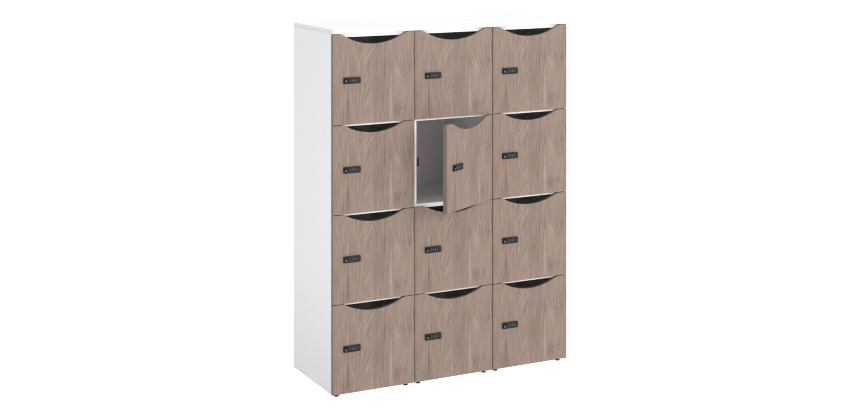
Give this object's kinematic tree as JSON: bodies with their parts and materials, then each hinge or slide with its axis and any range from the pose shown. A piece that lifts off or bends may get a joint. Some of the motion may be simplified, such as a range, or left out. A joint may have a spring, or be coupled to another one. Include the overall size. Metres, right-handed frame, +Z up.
{
  "type": "locker cabinet",
  "caption": "Floor-standing locker cabinet: three white board columns under one cover, with scooped, wood-faced doors hinged on the right, each with a number-dial combination cam lock.",
  "frame": {"origin": "on the floor, under the middle of the closed cabinet's footprint (half its width, half its depth from the closed doors' faces to the back panel)", "axes": "+Z up, +X to the right seen from the front, +Y from the doors to the back"},
  "size_m": [1.2, 0.6559, 1.6105],
  "materials": {
    "white_board": "white melamine-faced board with white edging",
    "grey_board": "light grey melamine-faced board with white front edging",
    "wood_laminate": "grey-brown elm-effect laminate, vertical grain, satin",
    "black_plastic": "fine moulded black plastic",
    "dark_plastic": "moulded charcoal plastic",
    "dial_plastic": "blue-grey moulded plastic with light figures",
    "knob_metal": "black coated metal",
    "nickel_steel": "nickel-plated pressed steel"
  },
  "bodies": {
    "cabinet": {"top_cover": "white_board", "column_tops": "grey_board", "column_bottoms": "grey_board", "left_sides": "white_board", "right_sides": "white_board", "shelves": "grey_board", "back_panels": "grey_board", "feet": "black_plastic", "hinge_plates": "nickel_steel", "hinge_arms": "nickel_steel", "strike_blocks": "dark_plastic"},
    "door_r1c1": {"door_r1c1": "wood_laminate", "fittings_r1c1": "black_plastic"},
    "dials_r1c1": {"lock_dials_r1c1": "dial_plastic"},
    "knob_r1c1": {"lock_knob_r1c1": "knob_metal"},
    "door_r1c2": {"door_r1c2": "wood_laminate", "fittings_r1c2": "black_plastic"},
    "dials_r1c2": {"lock_dials_r1c2": "dial_plastic"},
    "knob_r1c2": {"lock_knob_r1c2": "knob_metal"},
    "door_r1c3": {"door_r1c3": "wood_laminate", "fittings_r1c3": "black_plastic"},
    "dials_r1c3": {"lock_dials_r1c3": "dial_plastic"},
    "knob_r1c3": {"lock_knob_r1c3": "knob_metal"},
    "door_r2c1": {"door_r2c1": "wood_laminate", "fittings_r2c1": "black_plastic"},
    "dials_r2c1": {"lock_dials_r2c1": "dial_plastic"},
    "knob_r2c1": {"lock_knob_r2c1": "knob_metal"},
    "door_r2c2": {"door_r2c2": "wood_laminate", "fittings_r2c2": "black_plastic"},
    "dials_r2c2": {"lock_dials_r2c2": "dial_plastic"},
    "knob_r2c2": {"lock_knob_r2c2": "knob_metal"},
    "door_r2c3": {"door_r2c3": "wood_laminate", "fittings_r2c3": "black_plastic"},
    "dials_r2c3": {"lock_dials_r2c3": "dial_plastic"},
    "knob_r2c3": {"lock_knob_r2c3": "knob_metal"},
    "door_r3c1": {"door_r3c1": "wood_laminate", "fittings_r3c1": "black_plastic"},
    "dials_r3c1": {"lock_dials_r3c1": "dial_plastic"},
    "knob_r3c1": {"lock_knob_r3c1": "knob_metal"},
    "door_r3c2": {"door_r3c2": "wood_laminate", "fittings_r3c2": "black_plastic"},
    "dials_r3c2": {"lock_dials_r3c2": "dial_plastic"},
    "knob_r3c2": {"lock_knob_r3c2": "knob_metal"},
    "door_r3c3": {"door_r3c3": "wood_laminate", "fittings_r3c3": "black_plastic"},
    "dials_r3c3": {"lock_dials_r3c3": "dial_plastic"},
    "knob_r3c3": {"lock_knob_r3c3": "knob_metal"},
    "door_r4c1": {"door_r4c1": "wood_laminate", "fittings_r4c1": "black_plastic"},
    "dials_r4c1": {"lock_dials_r4c1": "dial_plastic"},
    "knob_r4c1": {"lock_knob_r4c1": "knob_metal"},
    "door_r4c2": {"door_r4c2": "wood_laminate", "fittings_r4c2": "black_plastic"},
    "dials_r4c2": {"lock_dials_r4c2": "dial_plastic"},
    "knob_r4c2": {"lock_knob_r4c2": "knob_metal"},
    "door_r4c3": {"door_r4c3": "wood_laminate", "fittings_r4c3": "black_plastic"},
    "dials_r4c3": {"lock_dials_r4c3": "dial_plastic"},
    "knob_r4c3": {"lock_knob_r4c3": "knob_metal"}
  },
  "joints": [
    {"name": "door_r1c1_hinge", "type": "hinge", "parent": "cabinet", "child": "door_r1c1", "pos_m": [-0.2015, -0.2275, 1.3835], "axis": [0, 0, 1], "range_deg": [0, 100]},
    {"name": "lock_dials_r1c1_spin", "type": "hinge", "parent": "door_r1c1", "child": "dials_r1c1", "pos_m": [-0.504, -0.2255, 1.386], "axis": [1, 0, 0], "continuous": true},
    {"name": "lock_knob_r1c1_turn", "type": "hinge", "parent": "door_r1c1", "child": "knob_r1c1", "pos_m": [-0.537, -0.2275, 1.386], "axis": [0, 1, 0], "range_deg": [0, 90]},
    {"name": "door_r1c2_hinge", "type": "hinge", "parent": "cabinet", "child": "door_r1c2", "pos_m": [0.1985, -0.2275, 1.3835], "axis": [0, 0, 1], "range_deg": [0, 100]},
    {"name": "lock_dials_r1c2_spin", "type": "hinge", "parent": "door_r1c2", "child": "dials_r1c2", "pos_m": [-0.104, -0.2255, 1.386], "axis": [1, 0, 0], "continuous": true},
    {"name": "lock_knob_r1c2_turn", "type": "hinge", "parent": "door_r1c2", "child": "knob_r1c2", "pos_m": [-0.137, -0.2275, 1.386], "axis": [0, 1, 0], "range_deg": [0, 90]},
    {"name": "door_r1c3_hinge", "type": "hinge", "parent": "cabinet", "child": "door_r1c3", "pos_m": [0.6, -0.2275, 1.3835], "axis": [0, 0, 1], "range_deg": [0, 100]},
    {"name": "lock_dials_r1c3_spin", "type": "hinge", "parent": "door_r1c3", "child": "dials_r1c3", "pos_m": [0.296, -0.2255, 1.386], "axis": [1, 0, 0], "continuous": true},
    {"name": "lock_knob_r1c3_turn", "type": "hinge", "parent": "door_r1c3", "child": "knob_r1c3", "pos_m": [0.263, -0.2275, 1.386], "axis": [0, 1, 0], "range_deg": [0, 90]},
    {"name": "door_r2c1_hinge", "type": "hinge", "parent": "cabinet", "child": "door_r2c1", "pos_m": [-0.2015, -0.2275, 0.9915], "axis": [0, 0, 1], "range_deg": [0, 100]},
    {"name": "lock_dials_r2c1_spin", "type": "hinge", "parent": "door_r2c1", "child": "dials_r2c1", "pos_m": [-0.504, -0.2255, 0.994], "axis": [1, 0, 0], "continuous": true},
    {"name": "lock_knob_r2c1_turn", "type": "hinge", "parent": "door_r2c1", "child": "knob_r2c1", "pos_m": [-0.537, -0.2275, 0.994], "axis": [0, 1, 0], "range_deg": [0, 90]},
    {"name": "door_r2c2_hinge", "type": "hinge", "parent": "cabinet", "child": "door_r2c2", "pos_m": [0.1985, -0.2275, 0.9915], "axis": [0, 0, 1], "range_deg": [-30.4, 69.6]},
    {"name": "lock_dials_r2c2_spin", "type": "hinge", "parent": "door_r2c2", "child": "dials_r2c2", "pos_m": [-0.06342, -0.37885, 0.994], "axis": [0.8625, 0.506, 0], "continuous": true},
    {"name": "lock_knob_r2c2_turn", "type": "hinge", "parent": "door_r2c2", "child": "knob_r2c2", "pos_m": [-0.09087, -0.39727, 0.994], "axis": [-0.506, 0.8625, 0], "range_deg": [0, 90]},
    {"name": "door_r2c3_hinge", "type": "hinge", "parent": "cabinet", "child": "door_r2c3", "pos_m": [0.6, -0.2275, 0.9915], "axis": [0, 0, 1], "range_deg": [0, 100]},
    {"name": "lock_dials_r2c3_spin", "type": "hinge", "parent": "door_r2c3", "child": "dials_r2c3", "pos_m": [0.296, -0.2255, 0.994], "axis": [1, 0, 0], "continuous": true},
    {"name": "lock_knob_r2c3_turn", "type": "hinge", "parent": "door_r2c3", "child": "knob_r2c3", "pos_m": [0.263, -0.2275, 0.994], "axis": [0, 1, 0], "range_deg": [0, 90]},
    {"name": "door_r3c1_hinge", "type": "hinge", "parent": "cabinet", "child": "door_r3c1", "pos_m": [-0.2015, -0.2275, 0.5995], "axis": [0, 0, 1], "range_deg": [0, 100]},
    {"name": "lock_dials_r3c1_spin", "type": "hinge", "parent": "door_r3c1", "child": "dials_r3c1", "pos_m": [-0.504, -0.2255, 0.602], "axis": [1, 0, 0], "continuous": true},
    {"name": "lock_knob_r3c1_turn", "type": "hinge", "parent": "door_r3c1", "child": "knob_r3c1", "pos_m": [-0.537, -0.2275, 0.602], "axis": [0, 1, 0], "range_deg": [0, 90]},
    {"name": "door_r3c2_hinge", "type": "hinge", "parent": "cabinet", "child": "door_r3c2", "pos_m": [0.1985, -0.2275, 0.5995], "axis": [0, 0, 1], "range_deg": [0, 100]},
    {"name": "lock_dials_r3c2_spin", "type": "hinge", "parent": "door_r3c2", "child": "dials_r3c2", "pos_m": [-0.104, -0.2255, 0.602], "axis": [1, 0, 0], "continuous": true},
    {"name": "lock_knob_r3c2_turn", "type": "hinge", "parent": "door_r3c2", "child": "knob_r3c2", "pos_m": [-0.137, -0.2275, 0.602], "axis": [0, 1, 0], "range_deg": [0, 90]},
    {"name": "door_r3c3_hinge", "type": "hinge", "parent": "cabinet", "child": "door_r3c3", "pos_m": [0.6, -0.2275, 0.5995], "axis": [0, 0, 1], "range_deg": [0, 100]},
    {"name": "lock_dials_r3c3_spin", "type": "hinge", "parent": "door_r3c3", "child": "dials_r3c3", "pos_m": [0.296, -0.2255, 0.602], "axis": [1, 0, 0], "continuous": true},
    {"name": "lock_knob_r3c3_turn", "type": "hinge", "parent": "door_r3c3", "child": "knob_r3c3", "pos_m": [0.263, -0.2275, 0.602], "axis": [0, 1, 0], "range_deg": [0, 90]},
    {"name": "door_r4c1_hinge", "type": "hinge", "parent": "cabinet", "child": "door_r4c1", "pos_m": [-0.2015, -0.2275, 0.2075], "axis": [0, 0, 1], "range_deg": [0, 100]},
    {"name": "lock_dials_r4c1_spin", "type": "hinge", "parent": "door_r4c1", "child": "dials_r4c1", "pos_m": [-0.504, -0.2255, 0.21], "axis": [1, 0, 0], "continuous": true},
    {"name": "lock_knob_r4c1_turn", "type": "hinge", "parent": "door_r4c1", "child": "knob_r4c1", "pos_m": [-0.537, -0.2275, 0.21], "axis": [0, 1, 0], "range_deg": [0, 90]},
    {"name": "door_r4c2_hinge", "type": "hinge", "parent": "cabinet", "child": "door_r4c2", "pos_m": [0.1985, -0.2275, 0.2075], "axis": [0, 0, 1], "range_deg": [0, 100]},
    {"name": "lock_dials_r4c2_spin", "type": "hinge", "parent": "door_r4c2", "child": "dials_r4c2", "pos_m": [-0.104, -0.2255, 0.21], "axis": [1, 0, 0], "continuous": true},
    {"name": "lock_knob_r4c2_turn", "type": "hinge", "parent": "door_r4c2", "child": "knob_r4c2", "pos_m": [-0.137, -0.2275, 0.21], "axis": [0, 1, 0], "range_deg": [0, 90]},
    {"name": "door_r4c3_hinge", "type": "hinge", "parent": "cabinet", "child": "door_r4c3", "pos_m": [0.6, -0.2275, 0.2075], "axis": [0, 0, 1], "range_deg": [0, 100]},
    {"name": "lock_dials_r4c3_spin", "type": "hinge", "parent": "door_r4c3", "child": "dials_r4c3", "pos_m": [0.296, -0.2255, 0.21], "axis": [1, 0, 0], "continuous": true},
    {"name": "lock_knob_r4c3_turn", "type": "hinge", "parent": "door_r4c3", "child": "knob_r4c3", "pos_m": [0.263, -0.2275, 0.21], "axis": [0, 1, 0], "range_deg": [0, 90]}
  ]
}
